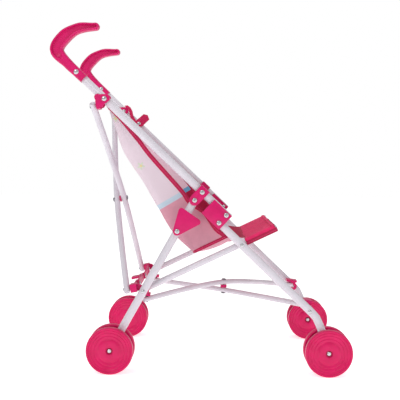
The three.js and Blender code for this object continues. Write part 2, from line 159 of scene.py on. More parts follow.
def resample(points, count):
    """count + 1 points at equal steps along a polyline."""
    total = lengths_along(points)
    out = []
    i = 0
    for k in range(count + 1):
        want = total[-1] * k / count
        while i < len(points) - 2 and total[i + 1] < want:
            i += 1
        span = total[i + 1] - total[i]
        w = (want - total[i]) / span if span else 0
        out.append(points[i].lerp(points[i + 1], min(max(w, 0), 1)))
    return out


def add_object(name, data):
    made = bpy.data.objects.new(name, data)
    bpy.context.scene.collection.objects.link(made)
    return made


def new_piece(name, verts, faces, material, body, node=None, smooth=True, uvs=None):
    """A mesh piece in the row frame that rides on a body, and may stand for a CAD node."""
    mesh = bpy.data.meshes.new(name)
    mesh.from_pydata([tuple(v) for v in verts], [], faces)
    if uvs:
        layer = mesh.uv_layers.new(name="UVMap")
        for loop in mesh.loops:
            layer.data[loop.index].uv = uvs[loop.vertex_index]
    mesh.validate()
    mesh.update()
    return finish_piece(add_object(name, mesh), material, body, node, smooth)


def finish_piece(piece, material, body, node=None, smooth=True):
    """Gives a piece its materials, body and CAD node."""
    materials = material if isinstance(material, list) else [material]
    for m in materials:
        piece.data.materials.append(m)
    if smooth:
        piece.data.shade_smooth()
    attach(piece, body)
    if node:
        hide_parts(node)
    return piece


def circle(centre, side, up, radius, count):
    turns = (2 * math.pi * k / count for k in range(count))
    return [centre + (side * math.cos(a) + up * math.sin(a)) * radius for a in turns]


def joined(rings, capped=True):
    """The points of equal rings, and the faces that join them in order and close the first and last."""
    n = len(rings[0])
    verts = [v for r in rings for v in r]
    faces = []
    for r in range(0, len(verts) - n, n):
        for k in range(n):
            a, b = r + k, r + (k + 1) % n
            faces.append((a, b, b + n, a + n))
    if capped:
        faces += [tuple(range(n - 1, -1, -1)), tuple(range(len(verts) - n, len(verts)))]
    return verts, faces


def edit(piece, change):
    """Changes a piece's mesh by a function of its bmesh."""
    bm = bmesh.new()
    bm.from_mesh(piece.data)
    change(bm)
    bm.to_mesh(piece.data)
    bm.free()
    return piece


def outward(piece):
    """Turns the faces outwards."""
    return edit(piece, lambda bm: bmesh.ops.recalc_face_normals(bm, faces=bm.faces))


def sharpen(piece, degrees=40):
    """Smooth shading that stays crisp at edges sharper than the angle."""

    def mark(bm):
        for e in bm.edges:
            e.smooth = not (len(e.link_faces) == 2 and e.calc_face_angle(0) > math.radians(degrees))

    return edit(piece, mark)


TUBE_SIDES = 32
LIP = 0.35 * MM  # radius of the rolled lip at a tube's open end
BORE_DEPTH = 14 * MM  # how far into an open end the bore is modelled


def tube(name, path, radius, body, node, domed=False):
    """A round tube along a path: rolled lips and an open bore at its ends, or domed ends."""
    total = lengths_along(path)
    last = len(path) - 1
    across = Vector((0, 1, 0))
    if abs((path[-1] - path[0]).normalized().y) > 0.9:
        across = Vector((1, 0, 0))

    def ring(i, shift, r):
        ahead = heading(path, i)
        side = ahead.cross(across).normalized()
        return circle(path[i] + ahead * shift, side, side.cross(ahead).normalized(), r, TUBE_SIDES)

    if domed:
        edge = radius * 0.55
        end = [(edge * (1 - bend), radius * max(bend, 0.04)) for _, bend in quarter_arc()[:-1]]
    else:
        edge = LIP
        bore = radius - WALL
        end = [(BORE_DEPTH, bore * 0.05), (BORE_DEPTH, bore), (LIP, bore), (0, bore + LIP)]
        end += [(0, radius - LIP), (LIP, radius)]
    rings = [ring(0, inset, r) for inset, r in end]
    rings += [ring(i, 0, radius) for i in range(1, last) if edge < total[i] < total[-1] - edge]
    if last == 1:
        rings.append([a.lerp(b, 0.5) for a, b in zip(ring(0, 0, radius), ring(1, 0, radius))])
    rings += [ring(last, -inset, r) for inset, r in reversed(end)]
    return sharpen(outward(new_piece(name, *joined(rings), PAINT, body, node)), 50)


def lathe(name, profile, centre, axis, material, body, node=None, segments=64):
    """A profile of (radius, distance along the axis), turned round an axis through centre."""
    axis = axis.normalized()
    side = axis.orthogonal().normalized()
    up = axis.cross(side)
    rings = [circle(centre + axis * h, side, up, max(r, 1e-5), segments) for r, h in profile]
    looped = profile[0] == profile[-1]
    verts, faces = joined(rings, not looped)
    if looped:
        verts = verts[:-segments]
        faces = [tuple(i % len(verts) for i in f) for f in faces]
    return sharpen(outward(new_piece(name, verts, faces, material, body, node)))


def softened(node, material, body, width=0.5 * MM):
    """The CAD node's shape with its edges rounded, as a moulding's are."""
    mesh = frame["nodes"][node].data.copy()
    mesh.materials.clear()
    piece = add_object(node.replace("_", "-") + "-moulded", mesh)

    def simplify(bm):
        bmesh.ops.remove_doubles(bm, verts=bm.verts, dist=0.02 * MM)
        bmesh.ops.dissolve_limit(bm, angle_limit=math.radians(1.5), verts=bm.verts, edges=bm.edges)

    edit(piece, simplify)
    bevel = piece.modifiers.new("rounded edges", "BEVEL")
    bevel.width = width
    bevel.segments = 3
    bevel.limit_method = "ANGLE"
    bevel.angle_limit = math.radians(32)
    bevel.miter_outer = "MITER_ARC"
    apply_modifiers(piece)
    return sharpen(finish_piece(piece, material, body, node))


def apply_modifiers(piece):
    """Makes what the modifiers give the piece's own mesh."""
    bpy.context.view_layer.update()
    depsgraph = bpy.context.evaluated_depsgraph_get()
    mesh = bpy.data.meshes.new_from_object(piece.evaluated_get(depsgraph), depsgraph=depsgraph)
    piece.modifiers.clear()
    piece.data = mesh
    return piece


# --- materials


class Shader:
    """A principled material and short calls for the nodes that feed it."""

    def __init__(self, name, color, roughness, **settings):
        self.material = bpy.data.materials.new(name)
        self.material.use_nodes = True
        self.tree = self.material.node_tree
        self.bsdf = next(n for n in self.tree.nodes if n.type == "BSDF_PRINCIPLED")
        self.bsdf.inputs["Base Color"].default_value = (*color, 1)
        self.bsdf.inputs["Roughness"].default_value = roughness
        for key, value in settings.items():
            self.bsdf.inputs[key.replace("_", " ")].default_value = value
        self.material.diffuse_color = (*color, 1)

    def node(self, kind, values=None, **options):
        made = self.tree.nodes.new(kind)
        for key, value in options.items():
            setattr(made, key, value)
        for key, value in (values or {}).items():
            if isinstance(value, bpy.types.NodeSocket):
                self.tree.links.new(value, made.inputs[key])
            else:
                made.inputs[key].default_value = value
        return made

    def math(self, operation, a, b=0.0, c=0.0, clamp=False):
        return self.node("ShaderNodeMath", {0: a, 1: b, 2: c}, operation=operation, use_clamp=clamp).outputs[0]

    def mix(self, factor, a, b, blend="MIX"):
        made = self.node("ShaderNodeMix", {"Factor": factor}, data_type="RGBA", blend_type=blend)
        for socket, value in (("A", a), ("B", b)):
            target = next(s for s in made.inputs if s.name == socket and s.type == "RGBA")
            if isinstance(value, bpy.types.NodeSocket):
                self.tree.links.new(value, target)
            else:
                target.default_value = (*value, 1)
        return next(s for s in made.outputs if s.type == "RGBA")

    def ramp(self, factor, stops, smooth=True):
        made = self.node("ShaderNodeValToRGB", {"Fac": factor})
        made.color_ramp.interpolation = "LINEAR" if smooth else "CONSTANT"
        items = made.color_ramp.elements
        while len(items) < len(stops):
            items.new(0.5)
        for item, (place, color) in zip(items, stops):
            item.position = place
            item.color = (*color, 1)
        return made.outputs["Color"]

    def place(self, kind="Object"):
        """Coordinates in millimetres."""
        coords = self.node("ShaderNodeTexCoord").outputs[kind]
        return self.node("ShaderNodeVectorMath", {0: coords, "Scale": 1000.0}, operation="SCALE").outputs["Vector"]

    def split(self, vector):
        """The X and Y of a vector."""
        parts = self.node("ShaderNodeSeparateXYZ", {"Vector": vector})
        return parts.outputs["X"], parts.outputs["Y"]

    def noise(self, vector, scale, detail=3.0, roughness=0.55):
        made = self.node(
            "ShaderNodeTexNoise", {"Vector": vector, "Scale": scale, "Detail": detail, "Roughness": roughness}
        )
        return made.outputs["Fac"]

    def color(self, socket):
        self.tree.links.new(socket, self.bsdf.inputs["Base Color"])

    def rough(self, socket):
        self.tree.links.new(socket, self.bsdf.inputs["Roughness"])

    def bump(self, height, distance, strength=1.0):
        made = self.node("ShaderNodeBump", {"Height": height, "Distance": distance, "Strength": strength})
        self.tree.links.new(made.outputs["Normal"], self.bsdf.inputs["Normal"])


def srgb(r, g, b):
    """A colour given as 0 to 255 display values."""
    return tuple(
        (c / 255 / 12.92) if c / 255 <= 0.04045 else ((c / 255 + 0.055) / 1.055) ** 2.4 for c in (r, g, b)
    )


def hard_surface(shader, tones, cloud, wear, rough, grain, bump):
    """Cloudy colour, uneven gloss and a fine grain. cloud, wear and grain are each a noise's scale and detail."""
    place = shader.place()
    shader.color(shader.ramp(shader.noise(place, *cloud), tones))
    shader.rough(shader.math("MULTIPLY_ADD", shader.noise(place, *wear), *rough))
    shader.bump(shader.noise(place, *grain), 0.00001, bump)
    return shader.material


def enamel():
    shader = Shader("white enamel", srgb(226, 221, 231), 0.34, Coat_Weight=0.2, Coat_Roughness=0.15)
    tones = [(0.3, srgb(208, 202, 211)), (0.72, srgb(218, 213, 221))]
    return hard_surface(shader, tones, (0.035, 3), (0.12, 4), (0.18, 0.22), (0.9, 2), 0.2)


def moulded(name, deep, bright, roughness):
    shader = Shader(name, bright, roughness, Specular_IOR_Level=0.3, Coat_Weight=0.05, Coat_Roughness=0.2)
    tones = [(0.25, deep), (0.75, bright)]
    return hard_surface(shader, tones, (0.06, 4), (0.25, 5, 0.7), (0.22, roughness - 0.1), (1.2, 3, 0.5), 0.25)


def plated(name, color, roughness):
    shader = Shader(name, color, roughness, Metallic=1.0)
    tones = [(0.3, tuple(c * 0.82 for c in color)), (0.7, color)]
    spots = (0.8, 5, 0.7)
    return hard_surface(shader, tones, spots, spots, (0.2, roughness - 0.06), (5.0, 2), 0.4)


WEAVE = 0.85  # thread pitch of the fabrics, in millimetres
STITCH = 3.2  # length of a stitch and its gap, in millimetres


def weave_height(shader, place, pitch=WEAVE):
    """A plain weave: threads that pass over and under each other."""
    warp, weft = (shader.math("SINE", shader.math("MULTIPLY", c, math.pi / pitch)) for c in shader.split(place))
    return shader.math("MULTIPLY", warp, weft)


def flowers(shader, place, cell, radius, seed):
    """A mask of small five-petalled flowers, one in each cell, and a colour for each."""
    cells = shader.node(
        "ShaderNodeTexVoronoi",
        {"Vector": place, "Scale": 1 / cell, "Randomness": 0.75},
        voronoi_dimensions="2D",
    )
    away = shader.node("ShaderNodeVectorMath", {0: place, 1: cells.outputs["Position"]}, operation="SUBTRACT")
    x, y = shader.split(away.outputs["Vector"])
    angle = shader.math("ARCTAN2", y, x)
    petals = shader.math("COSINE", shader.math("MULTIPLY_ADD", angle, 5.0, seed))
    reach = shader.math("MULTIPLY_ADD", petals, 0.28 * radius, 0.72 * radius)
    flat = shader.node("ShaderNodeCombineXYZ", {"X": x, "Y": y})
    distance = shader.node("ShaderNodeVectorMath", {0: flat.outputs["Vector"]}, operation="LENGTH").outputs["Value"]
    inside = shader.math("SUBTRACT", reach, distance)
    mask = shader.math("MULTIPLY", inside, 1.6, clamp=True)
    heart = shader.math("MULTIPLY", shader.math("SUBTRACT", 0.3 * radius, distance), 2.5, clamp=True)
    return mask, heart, cells.outputs["Color"]


BAND_AT = 178.0  # where the printed band crosses the sling, in millimetres from its top hem
BAND_WIDTH = 8.0


def print_fabric(name, upper, band, lower, bloom, strength):
    """Printed cloth: a flowered upper part, a plain band and a mottled lower part, darkened as painted shade where the
    weave lies low.
    """
    shader = Shader(name, upper, 0.9, Sheen_Weight=0.06, Sheen_Roughness=0.5)
    place = shader.place("UV")
    along = shader.split(place)[1]
    mask, heart, tone = flowers(shader, place, 46.0, 7.0, 0.6)
    tones = shader.node("ShaderNodeSeparateColor", {"Color": tone})
    petal = shader.ramp(tones.outputs["Red"], [(k / 3, c) for k, c in enumerate(bloom)], smooth=False)
    cloudy = shader.noise(place, 0.02, 2)
    ground = shader.ramp(cloudy, [(0.3, tuple(c * 0.94 for c in upper)), (0.7, upper)])
    kept = shader.math("GREATER_THAN", tones.outputs["Green"], 0.45)
    color = ground
    for shape, tint in ((mask, petal), (heart, srgb(235, 205, 120))):
        share = shader.math("MULTIPLY", shader.math("MULTIPLY", shape, kept), strength)
        color = shader.mix(share, color, tint)
    blotch = shader.noise(place, 0.035, 4, 0.6)
    mottled = shader.ramp(blotch, [(0.35, tuple(c * 0.86 for c in lower)), (0.68, lower)])
    for start, tint in ((BAND_AT, band), (BAND_AT + BAND_WIDTH, mottled)):
        past = shader.math("MULTIPLY", shader.math("SUBTRACT", along, start), 2.0, clamp=True)
        color = shader.mix(past, color, tint)
    threads = weave_height(shader, place)
    # Painted shade: the colour darkens by up to a tenth where the weave lies low.
    shade = shader.math("MULTIPLY_ADD", threads, 0.05, 0.95)
    painted_weave_shade = shader.node("ShaderNodeCombineColor", {"Red": shade, "Green": shade, "Blue": shade}).outputs["Color"]
    shader.color(shader.mix(1.0, color, painted_weave_shade, "MULTIPLY"))
    shader.bump(threads, 0.00012, 0.5)
    return shader.material


def tape(name, color, stitch=None, pitch=WEAVE):
    """Plain woven tape, with a line of stitches where it is sewn on."""
    shader = Shader(name, color, 0.85, Sheen_Weight=0.06, Sheen_Roughness=0.5)
    place = shader.place("UV")
    threads = weave_height(shader, place, pitch)
    cloudy = shader.noise(place, 0.08, 3)
    ground = shader.ramp(cloudy, [(0.3, tuple(c * 0.8 for c in color)), (0.7, color)])
    height = threads
    if stitch:
        across, along = shader.split(place)
        dash = shader.math("GREATER_THAN", shader.math("FRACT", shader.math("DIVIDE", along, STITCH)), 0.3)
        off = shader.math("ABSOLUTE", across)
        line = shader.math("MULTIPLY", dash, shader.math("LESS_THAN", off, 0.35))
        ground = shader.mix(line, ground, stitch)
        height = shader.math("ADD", threads, shader.math("MULTIPLY", line, 2.5))
    shader.color(ground)
    shader.bump(height, 0.00012, 0.5)
    return shader.material


PAINT = enamel()
PINK = moulded("hot pink moulding", srgb(196, 4, 90), srgb(218, 8, 106), 0.36)
WHEEL_PINK = moulded("wheel moulding", srgb(202, 6, 84), srgb(222, 10, 98), 0.34)
CHROME = plated("nickel plate", (0.62, 0.62, 0.64), 0.2)
DARK_STEEL = plated("dark rivet steel", (0.26, 0.26, 0.29), 0.3)
OUTER = print_fabric(
    "sling outside", srgb(228, 210, 220), srgb(192, 210, 224), srgb(222, 156, 174),
    [srgb(224, 206, 180), srgb(236, 180, 200), srgb(200, 216, 184)], 0.7,
)
INNER = print_fabric(
    "sling inside", srgb(255, 228, 240), srgb(112, 190, 228), srgb(186, 12, 70),
    [srgb(236, 130, 172), srgb(248, 214, 130), srgb(140, 198, 150)], 0.8,
)
PANEL = tape("panel cloth", srgb(238, 30, 104))
# A darker crimson, on the front panel's underside and on the strips along the outer sides of the struts.
DARK_CRIMSON = tape("darker crimson cloth", srgb(180, 14, 70), srgb(200, 60, 104))
BINDING = tape("binding tape", srgb(192, 14, 76), srgb(214, 70, 116))
STRAP_CLOTH = tape("strap tape", srgb(214, 24, 90), None, 0.7)
SLOTS = {
    finish.name: slot
    for slot, finishes in (
        ("white_paint", [PAINT]), ("pink_plastic", [PINK]), ("wheel_plastic", [WHEEL_PINK]),
        ("bright_steel", [CHROME, DARK_STEEL]), ("sling_fabric", [OUTER, BINDING]), ("panel_fabric", [PANEL, DARK_CRIMSON]),
        ("webbing", [STRAP_CLOTH]),
    )
    for finish in finishes
}


# --- tubes


PUSH_TUBE_TOP = 346 * MM  # from the knee, along the push tube
STRUT_TOP = 62 * MM  # the strut's end, past its front pivot
PAST_PIVOT = 6.8 * MM  # how far a 12.5 mm tube's end stands past its pivot
BRACE_END = 5.5 * MM  # the same for the thinner tubes


def frame_tubes():
    for tag, sign in SIDES:

        def straight(name, body, low, high, y=LEG_Y, radius=TUBE_R):
            node = f"{tag}_{name}"
            ends = [at_y(low, sign * y), at_y(high, sign * y)]
            tube(node.replace("_", "-"), ends, radius, f"{tag}_{body}_frame", node)

        straight("push_tube", "push", KNEE - PUSH * PAST_PIVOT, KNEE + PUSH * PUSH_TUBE_TOP)
        straight("rear_leg", "rear", ELBOW - LEG * PAST_PIVOT, REAR_HUB + LEG * 8 * MM)
        front_leg(tag, sign * LEG_Y)
        straight("seat_strut", "strut", REAR_PIN - STRUT * BRACE_END, STRUT_FRONT + STRUT * STRUT_TOP, STRUT_Y,
                 STRUT_R)


def front_leg(tag, y):
    """Straight down past the brace's bracket, then bent to the wheel."""
    down = (BRACE_FRONT - FRONT_TOP).normalized()
    bend = BRACE_FRONT + down * 14 * MM
    knuckle = FRONT_HUB + Vector((-5 * MM, 0, 27 * MM))
    tail = FRONT_HUB + Vector((1.8 * MM, 0, -7.8 * MM))
    path = [FRONT_TOP + PUSH * 8 * MM, STRUT_FRONT, STRUT_FRONT.lerp(bend, 0.5)]
    for k in range(17):
        t = k / 16
        path.append(bend * (1 - t) ** 2 + knuckle * 2 * t * (1 - t) + tail * t * t)
    path = resample(catmull(path, 120), 40)
    tube(tag + "-front-leg", [at_y(p, y) for p in path], TUBE_R, tag + "_front_frame", tag + "_front_leg")


REAR_AXIS = (DOME - REAR_PIN).normalized()
REAR_DEPTH = quarter_turn(REAR_AXIS)  # backwards


def rear_point(rise, depth, y):
    return REAR_PIN + REAR_AXIS * rise + REAR_DEPTH * depth + Vector((0, y, 0))


REAR_BRACE_Y = abs(PIVOTS["rear_brace_swing"].y)
LOCK_RISE = 7 * MM


def cross_brace(which, low, high, half_y, radius, slip, bows, first_sign):
    """Two gently bowed tubes that cross in the middle, riveted at their ends and bolted together."""
    along = (high - low).normalized()
    span = (high - low).length
    way = quarter_turn(along)
    for letter, sign, bow in (("a", first_sign, bows[0]), ("b", -first_sign, bows[1])):
        marks = []
        for share in (0, 0.25, 0.5, 0.75, 1):
            wave = max(math.sin(math.pi * share), 0) ** 1.3
            spot = low + along * (span * share + slip * wave) + way * bow * wave
            marks.append(at_y(spot, sign * half_y * (1 - 2 * share)))
        first, last = (a + (a - b).normalized() * BRACE_END for a, b in (marks[:2], marks[:-3:-1]))
        path = resample(catmull([first, *marks, last], 160), 40)
        body = f"{which}_brace_{letter}"
        tube(f"{which}-brace-{letter}", path, radius, body, f"{which}_brace_tube_{letter}", domed=True)
        for end, label in ((marks[0], "low"), (marks[4], "high")):
            for face, side in ((1, "back"), (-1, "front")):
                rivet(f"{body}-rivet-{label}-{side}", end + way * face * (radius - 0.5 * MM), way * face, 2.8 * MM,
                      body, DARK_STEEL)
    middle = low + along * (span / 2 + slip) + way * (bows[0] + bows[1]) / 2
    crossing(which, middle, way, abs(bows[0] - bows[1]), radius, which + "_brace_b")


def rear_brace():
    low = rear_point(LOCK_RISE, 25.5 * MM, 0)
    high = rear_point((DOME - REAR_PIN).length - LOCK_RISE, 20.5 * MM, 0)
    cross_brace("rear", low, high, REAR_BRACE_Y, REAR_BRACE_R, -6 * MM, (-6.25 * MM, 6.25 * MM), 1)


def lower_brace():
    swing = PIVOTS["lower_brace_swing"]
    front = side_view(swing)
    rear = side_view(PIVOTS["lower_brace_scissor"]) * 2 - front
    cross_brace("lower", rear, front, abs(swing.y), LOWER_BRACE_R, 0, (16.5 * MM, 2.5 * MM), -1)


def crossing(which, middle, way, gap, radius, body):
    """The bolt through two crossing tubes, with a moulded spacer between them."""
    reach = gap / 2 + radius
    tip = reach + 0.5 * MM
    shaft = [(0, -tip), (2.3 * MM, -tip), (2.3 * MM, tip), (0, tip)]
    lathe(which + "-crossing-bolt", shaft, middle, way, CHROME, body, which + "_brace_bolt", 24)
    for face, side in ((1, "a"), (-1, "b")):
        rivet(f"{which}-crossing-head-{side}", middle + way * face * (reach + 0.1 * MM), way * face, 4.1 * MM, body,
              DARK_STEEL)
    half = gap / 2 - radius - 0.25 * MM
    ring = [(2.6, -half), (4.9, -half), (5.4, -half + 0.4 * MM), (5.5, 0), (5.4, half - 0.4 * MM), (4.9, half),
            (2.6, half), (2.6, -half)]
    lathe(which + "-crossing-spacer", [(r * MM, h) for r, h in ring], middle, way, PINK, body,
          which + "_brace_spacer", 32)


# --- screws, rivets and plates


def rivet(name, centre, way, radius, body, material=CHROME, node=None, height=0.42):
    """A domed head that stands on a surface; its height is a share of its radius."""
    profile = [(0.0, -0.6 * MM), (radius * 0.8, -0.6 * MM), (radius * 0.98, -0.1 * MM)]
    profile += [(radius * c, 0.2 * MM + radius * height * s) for c, s in quarter_arc()]
    return lathe(name, profile, centre, way, material, body, node, 28)


HEAD_SIDES = 40


def cross_head():
    """A pan head with a cross recess, 1 unit in radius, facing +Z."""
    profile = [(0.75, -0.2), (0.98, -0.1), (1.0, 0.05), (0.97, 0.2)]
    profile += [(0.86, 0.34), (0.66, 0.43), (0.35, 0.48), (0.02, 0.5)]
    rings = [circle(Vector((0, 0, h)), Vector((1, 0, 0)), Vector((0, 1, 0)), r, HEAD_SIDES) for r, h in profile]
    verts, faces = joined(rings)
    mesh = bpy.data.meshes.new("cross head")
    mesh.from_pydata(verts, [], faces)
    head = add_object("cross head", mesh)
    cutters = []
    for turn in (0, math.pi / 2):
        block = bmesh.new()
        bmesh.ops.create_cube(block, size=1.0)
        for v in block.verts:
            narrow = 0.45 if v.co.z < 0 else 1.0
            v.co = Vector((v.co.x * 1.1 * narrow, v.co.y * 0.24, v.co.z * 0.5 + 0.35))
            v.co.rotate(Matrix.Rotation(turn, 3, "Z"))
        cut_mesh = bpy.data.meshes.new("slot")
        block.to_mesh(cut_mesh)
        block.free()
        cutters.append(add_object("slot", cut_mesh))
        cut = head.modifiers.new("slot", "BOOLEAN")
        cut.object = cutters[-1]
        cut.operation = "DIFFERENCE"
        cut.solver = "EXACT"
    apply_modifiers(head)
    made = head.data
    for used in (head, *cutters):
        bpy.data.objects.remove(used)
    return made


CROSS_HEAD = cross_head()


def screw(name, centre, way, radius, body, node, turn):
    """A cross-head screw whose head stands on a surface."""
    mesh = CROSS_HEAD.copy()
    turned = way.normalized().to_track_quat("Z", "Y").to_matrix().to_4x4()
    mesh.transform(Matrix.Translation(centre) @ turned @ Matrix.Rotation(turn, 4, "Z") @ Matrix.Scale(radius, 4))
    return sharpen(finish_piece(add_object(name, mesh), CHROME, body, node))


def pin(name, centre, low, high, radius, body, node=None):
    """A plain round pin across the frame, from |y| low to high, on the side that centre is on."""
    way = Vector((0, math.copysign(1, centre.y), 0))
    profile = [(0, low), (radius, low), (radius, high), (0, high)]
    return lathe(name, profile, side_view(centre), way, CHROME, body, node, 20)


PLATES = (
    ("elbow_plate", "push_frame"), ("knee_plate", "front_frame"), ("leg_guard", "rear_frame"),
    ("top_bracket", "top_bracket_body"), ("rear_bracket", "rear_bracket_body"), ("brace_clip", "brace_clip_body"),
    ("front_bracket", "front_bracket_body"),
)
ELBOW_FOOT = KNEE + PUSH * (ELBOW - KNEE).dot(PUSH)
GUARD_FOOT = ELBOW + LEG * 55 * MM
SCREW_R = 3.9
PIN_R, PIN_END = 2.2, 126.5
# Screws: name, centre, distance from the middle plane, body, turn of the cross and CAD node
SCREWS = (
    ("elbow-screw", ELBOW, 129.2, "push_frame", 0.5, "elbow_bolt"),
    ("elbow-upper-screw", ELBOW_FOOT, 129.2, "push_frame", 0.9, None),
    ("knee-screw", KNEE, 129.6, "front_frame", 0.2, "knee_bolt"),
    ("knee-lower-screw", FRONT_TOP, 129.6, "front_frame", 1.1, None),
    ("guard-screw", GUARD_FOOT, 134.0, "rear_frame", 0.7, None),
)
# Rivets: name, centre, distance, body, radius and CAD node, on the outside and then on the inside
RIVETS = (
    ("top-bracket-rivet", DOME, 129.2, "top_bracket_body", 4.0, None),
    ("rear-pin-head", REAR_PIN, 126.4, "rear_frame", 3.4, "leg_pin"),
    ("strut-rivet", STRUT_FRONT, 126.3, "front_frame", 3.2, None),
    ("brace-rivet", BRACE_FRONT, 126.3, "front_frame", 3.2, None),
)
INNER_RIVETS = (
    ("elbow-inner-rivet", ELBOW, 109.3, "push_frame", 3.0, None),
    ("knee-inner-rivet", KNEE, 110.4, "front_frame", 3.0, None),
    ("knee-lower-inner-rivet", FRONT_TOP, 110.4, "front_frame", 3.0, None),
    ("top-bracket-inner-rivet", DOME, 110.4, "top_bracket_body", 3.0, None),
    ("strut-inner-rivet", STRUT_FRONT, 100.2, "front_frame", 3.0, None),
)
# Pins: name, centre, distance of the inner end, body
PINS = (
    ("elbow-pin", ELBOW, 109, "push_frame"), ("knee-pin", KNEE, 110, "front_frame"),
    ("knee-lower-pin", FRONT_TOP, 110, "front_frame"), ("rear-leg-pin", REAR_PIN, 93.6, "rear_frame"),
    ("strut-pin", STRUT_FRONT, 99.5, "front_frame"), ("top-bracket-pin", DOME, 110, "top_bracket_body"),
    ("brace-pin", BRACE_FRONT, 101, "front_frame"),
)


def side_plates():
    """The moulded plates and clips of both sides, with their screws, rivets and pins."""
    for tag, sign in SIDES:
        out = Vector((0, sign, 0))

        def own(name):
            return name and f"{tag}_{name}"

        def rivets(rows, way):
            for name, point, y, body, radius, node in rows:
                rivet(f"{tag}-{name}", at_y(point, sign * y * MM), way, radius * MM, own(body), node=own(node))

        for node, body in PLATES:
            softened(own(node), PINK, own(body), 0.7 * MM)
        for name, point, y, body, turn, node in SCREWS:
            screw(f"{tag}-{name}", at_y(point, sign * y * MM), out, SCREW_R * MM, own(body), own(node), turn)
        rivets(RIVETS, out)
        for name, point, low, body in PINS:
            pin(f"{tag}-{name}", at_y(point, sign), low * MM, PIN_END * MM, PIN_R * MM, own(body))
        rivets(INNER_RIVETS, -out)


# --- wheels

# Half a wheel disc's outline: radius, and distance from the disc's middle towards its outer face
WHEEL_FACE = [
    (2.7, 0.4), (5.0, 0.4), (5.3, 0.9), (5.35, 3.0), (5.9, 3.6), (7.0, 3.75), (11.0, 4.0), (15.0, 3.7), (17.6, 3.1),
    (18.2, 2.5), (19.0, 2.35), (19.8, 2.7), (22.6, 3.1), (23.2, 2.6), (24.0, 2.55), (24.7, 3.1), (27.6, 3.6),
    (28.2, 3.15), (28.9, 3.15), (29.5, 3.8), (31.8, 4.3), (32.4, 3.9), (32.9, 3.9), (33.4, 4.6), (34.4, 5.3),
    (35.4, 5.5), (36.2, 5.15), (36.7, 4.5), (36.85, 3.4), (36.75, 2.9), (37.0, 2.2), (37.0, -2.2), (36.75, -2.9),
    (36.85, -3.4), (36.7, -4.5), (36.0, -5.2), (34.8, -5.5), (33.4, -5.2), (32.6, -4.2), (32.2, -2.6), (31.0, -2.2),
    (9.5, -2.4), (8.4, -2.9), (8.0, -4.8), (7.2, -5.4), (3.2, -5.4), (2.7, -5.0), (2.7, 0.4),
]


def box_centre(node):
    low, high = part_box(node)
    return (Vector(low) + Vector(high)) / 2


def wheels():
    face = [(r * MM, h * MM) for r, h in WHEEL_FACE]
    for tag, sign in SIDES:
        for place, hub in (("rear", REAR_HUB), ("front", FRONT_HUB)):
            wheel = f"{tag}_{place}_wheel"
            for which, outside in (("outer", 1), ("inner", -1)):
                node = f"{wheel}_{which}_disc"
                centre = box_centre(node)
                way = Vector((0, sign * outside, 0))
                name = node.replace("_", "-")
                lathe(name, face, centre, way, WHEEL_PINK, wheel, node, 96)
                rivet(name + "-cap", centre + way * 1.2 * MM, way, 3.7 * MM, wheel, height=0.6)
                for k in range(6):
                    spoke(f"{name}-rib-{k}", centre, way, k * math.pi / 3 + 0.3, wheel)
            pin(wheel.replace("_", "-") + "-axle", at_y(hub, sign), 103 * MM, 136.5 * MM, 2.3 * MM, wheel,
                wheel + "_axle")


def spoke(name, centre, way, angle, body):
    """A stiffening rib on the hollow face of a wheel disc."""
    across = Vector((math.cos(angle), 0, math.sin(angle)))
    side = way.cross(across)
    start, end = 7.6 * MM, 32.3 * MM
    thick, foot, crown = 0.6 * MM, -2.1 * MM, -4.2 * MM
    rings = []
    for r, top in ((start, crown), ((start + end) / 2, crown + 0.7 * MM), (end, crown)):
        outline = ((foot, thick * 1.3), (top + 0.3 * MM, thick), (top, thick * 0.6))
        ring = [centre + across * r + way * h + side * t for h, t in outline]
        rings.append(ring + [centre + across * r + way * h - side * t for h, t in reversed(outline)])
    return outward(new_piece(name, *joined(rings), WHEEL_PINK, body, smooth=False))


# --- handles

HANDLE_HALF = 8.6 * MM
HANDLE_RINGS = [  # inset from the outline and drop below the face, and whether the ring is in the recess
    (0.0, 8.6, False), (0.0, 4.4, False), (0.35, 2.5, False), (1.2, 0.9, False), (2.3, 0.1, False),
    (2.8, 0.0, False), (3.2, 0.15, True), (3.4, 0.8, True), (3.7, 3.6, True), (4.3, 4.2, True),
]
RECESS_FROM = 0.4  # share of the length where the recess starts, past the end of the tube inside


def handle_path():
    """The handle's middle line and its half width, from the sleeve's end to the hook's tip."""
    low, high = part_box("right_handle")
    neck = KNEE + PUSH * 305 * MM
    corner = Vector((low[0], 0, high[2]))

    def hook(dx, dz):
        return corner + Vector((dx * MM, 0, dz * MM))

    centre = [neck, neck + PUSH * 16 * MM, neck + PUSH * 33 * MM, hook(10.2, -41.8), hook(22.2, -21.8),
              hook(43.2, -8.8), hook(70.7, -5.8)]
    width = [6.9, 7.1, 7.5, 10.2, 10.0, 7.6, 5.6]
    steps = 60
    path = catmull(centre, steps)
    half = []
    for k in range(steps + 1):
        place = k / steps * 6
        i = min(int(place), 5)
        ease = place - i
        ease = ease * ease * (3 - 2 * ease)
        half.append((width[i] * (1 - ease) + width[i + 1] * ease) * MM)
    return path, half


